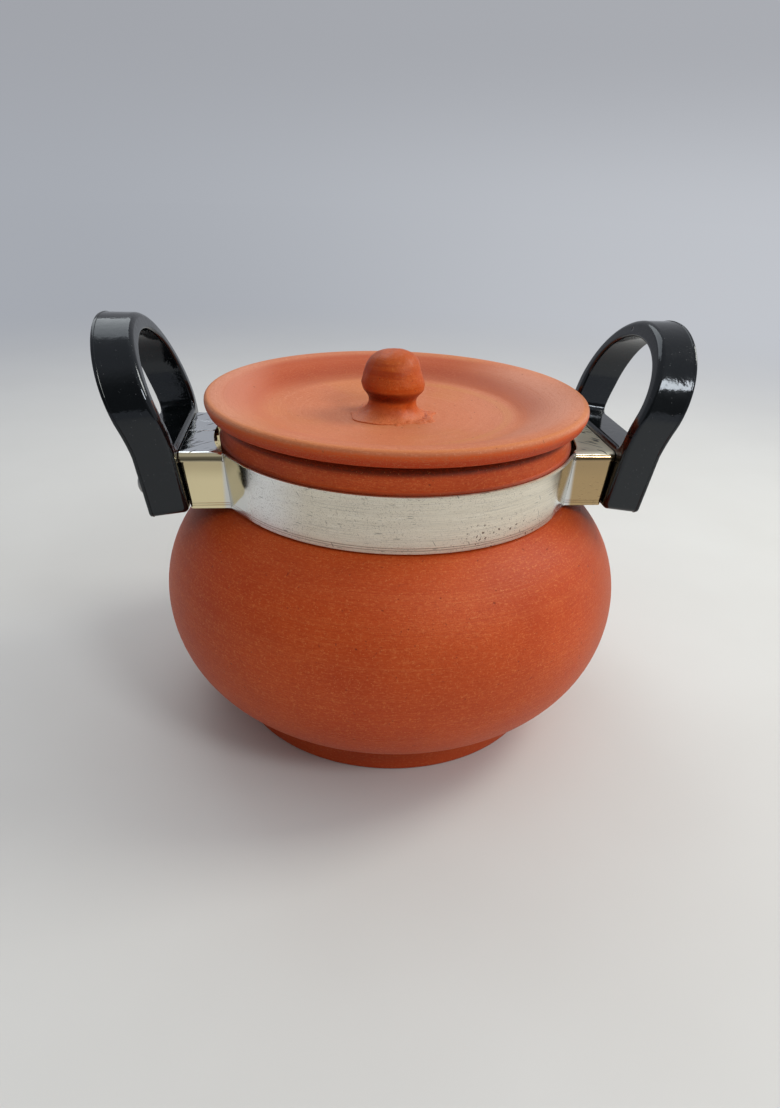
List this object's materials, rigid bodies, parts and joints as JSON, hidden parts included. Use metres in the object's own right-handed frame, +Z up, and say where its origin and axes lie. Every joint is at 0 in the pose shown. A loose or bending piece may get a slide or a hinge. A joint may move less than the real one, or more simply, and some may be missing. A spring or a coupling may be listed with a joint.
{
  "type": "lidded cooking pot",
  "caption": "Round-bellied terracotta handi with a dished clay lid and knob, a folded steel strap round its neck and black loop handles bolted to the strap's brackets.",
  "frame": {"origin": "centre of the pot's foot, on the surface it stands on", "axes": "+X from handle to handle, to the right as seen from the front, +Y away from the front, +Z up the pot's axis"},
  "size_m": [0.258, 0.22, 0.1887],
  "materials": {
    "pot_clay": "matt fired terracotta, fine wheel lines and mica specks",
    "lid_clay": "matt fired terracotta, burnished rim",
    "knob_clay": "matt fired terracotta, torn slip round its foot",
    "strap_steel": "brushed round the neck, near mirror on the brackets",
    "phenolic": "glossy moulded black",
    "fastener_steel": "plain zinc-bright steel"
  },
  "bodies": {
    "pot": {"clay_pot": "pot_clay", "front_band": "strap_steel", "rear_band": "strap_steel", "left_handle": "phenolic", "right_handle": "phenolic", "left_front_screw": "fastener_steel", "left_rear_screw": "fastener_steel", "right_front_screw": "fastener_steel", "right_rear_screw": "fastener_steel", "left_front_washer": "fastener_steel", "left_rear_washer": "fastener_steel", "right_front_washer": "fastener_steel", "right_rear_washer": "fastener_steel", "left_front_nut": "fastener_steel", "left_rear_nut": "fastener_steel", "right_front_nut": "fastener_steel", "right_rear_nut": "fastener_steel"},
    "lid": {"clay_lid": "lid_clay", "lid_knob": "knob_clay"}
  },
  "joints": [
    {"name": "lid_lift", "type": "slide", "parent": "pot", "child": "lid", "axis": [0, 0, 1], "range_m": [0, 0.1]}
  ]
}
